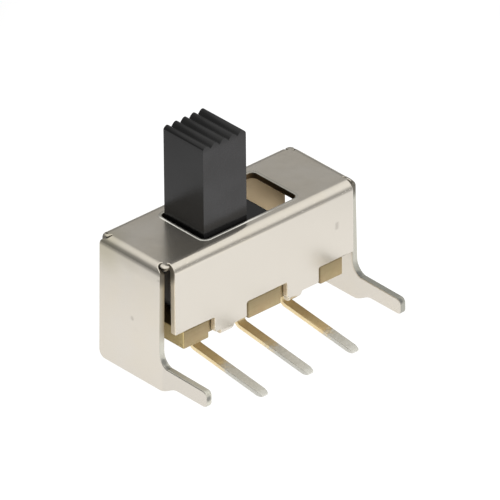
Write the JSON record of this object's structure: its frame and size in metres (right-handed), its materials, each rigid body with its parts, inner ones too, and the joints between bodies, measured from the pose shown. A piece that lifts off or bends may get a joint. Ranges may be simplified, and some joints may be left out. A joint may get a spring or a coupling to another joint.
{
  "type": "slide switch",
  "caption": "Miniature right-angle slide switch: plated steel cover folded round a laminate base, black ridged knob in a slot, flat terminals and legs for a circuit board.",
  "frame": {"origin": "middle of the middle terminal, where it crosses the plane of the front face, which is the face that lies on the circuit board", "axes": "+X along the row of terminals and the slider's travel, -Y the way the terminals and legs point into the circuit board, +Z the way the knob points"},
  "size_m": [0.0112, 0.0072, 0.0102],
  "materials": {
    "plated_steel": "satin nickel plate on folded sheet steel",
    "laminate": "tan paper and phenolic laminate, punched edges",
    "terminal_brass": "bare brass strip, tails dipped in dull tin",
    "black_plastic": "satin black moulding",
    "contact_bronze": "sprung phosphor bronze strip",
    "spring_steel": "drawn spring wire"
  },
  "bodies": {
    "housing": {"cover_frame": "plated_steel", "base_board": "laminate", "terminal_left": "terminal_brass", "terminal_middle": "terminal_brass", "terminal_right": "terminal_brass"},
    "slide_group": {"slider": "black_plastic", "moving_contact": "contact_bronze", "contact_spring": "spring_steel"}
  },
  "joints": [
    {"name": "slide", "type": "slide", "parent": "housing", "child": "slide_group", "axis": [1, 0, 0], "range_m": [0, 0.0025]}
  ]
}
